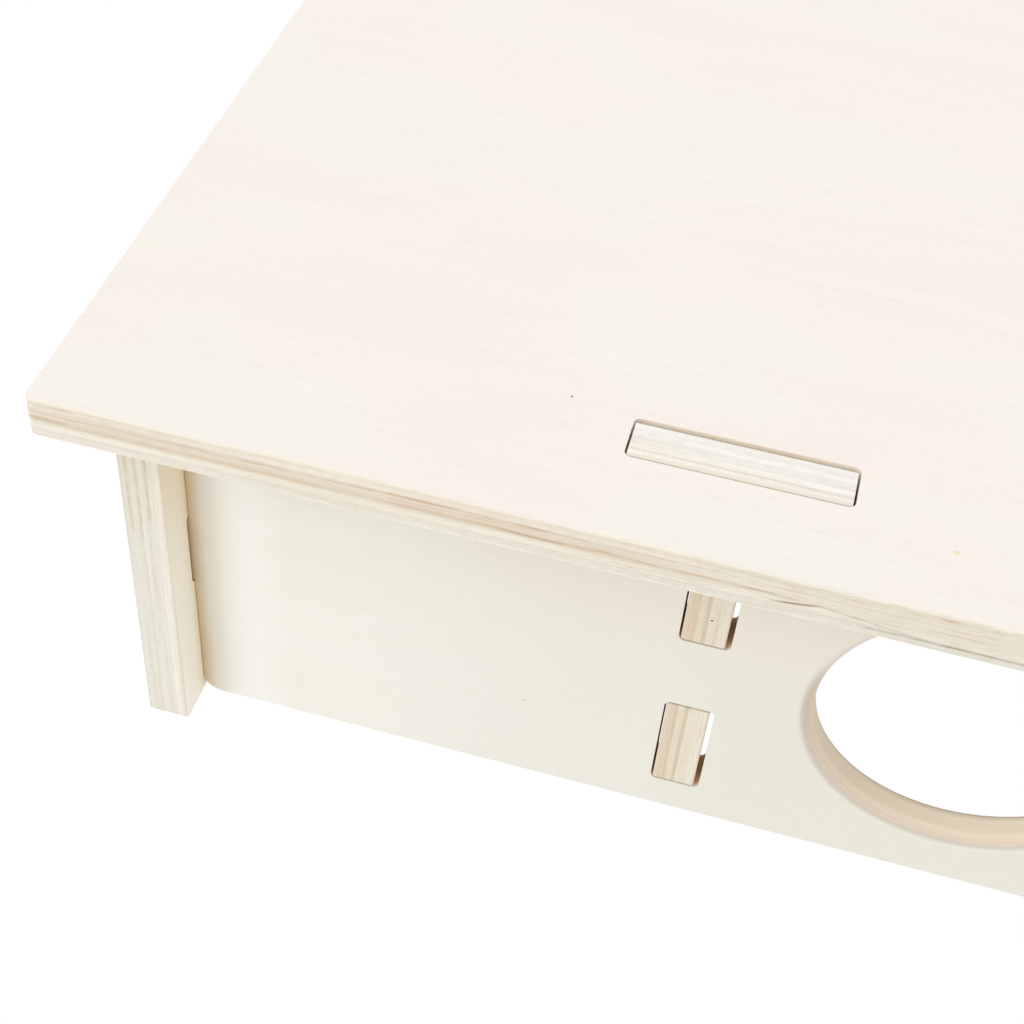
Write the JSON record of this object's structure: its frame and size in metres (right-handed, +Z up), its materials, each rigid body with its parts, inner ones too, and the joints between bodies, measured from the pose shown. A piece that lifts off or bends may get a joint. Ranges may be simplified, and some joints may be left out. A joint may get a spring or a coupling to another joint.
{
  "type": "wooden hamster house",
  "caption": "Flat-roofed plywood hamster house without a floor: plug-together walls, a round entrance, rooms joined by doorways and a roof that lifts off.",
  "frame": {"origin": "on the ground under the middle of the roof", "axes": "+X to the right along the front, +Y from the front wall to the back wall, +Z up through the roof"},
  "size_m": [0.385, 0.25, 0.1051],
  "materials": {
    "plywood_roof": "bare sanded birch plywood, pale pinkish cream",
    "plywood_walls": "bare sanded birch plywood, pale cream"
  },
  "bodies": {
    "house": {"front_wall": "plywood_walls", "back_wall": "plywood_walls", "left_side_wall": "plywood_walls", "right_side_wall": "plywood_walls", "left_partition": "plywood_walls", "right_partition": "plywood_walls"},
    "roof": {"roof": "plywood_roof"}
  },
  "joints": [
    {"name": "roof_lift", "type": "slide", "parent": "house", "child": "roof", "axis": [0, 0, 1], "range_m": [0, 0.12]}
  ]
}
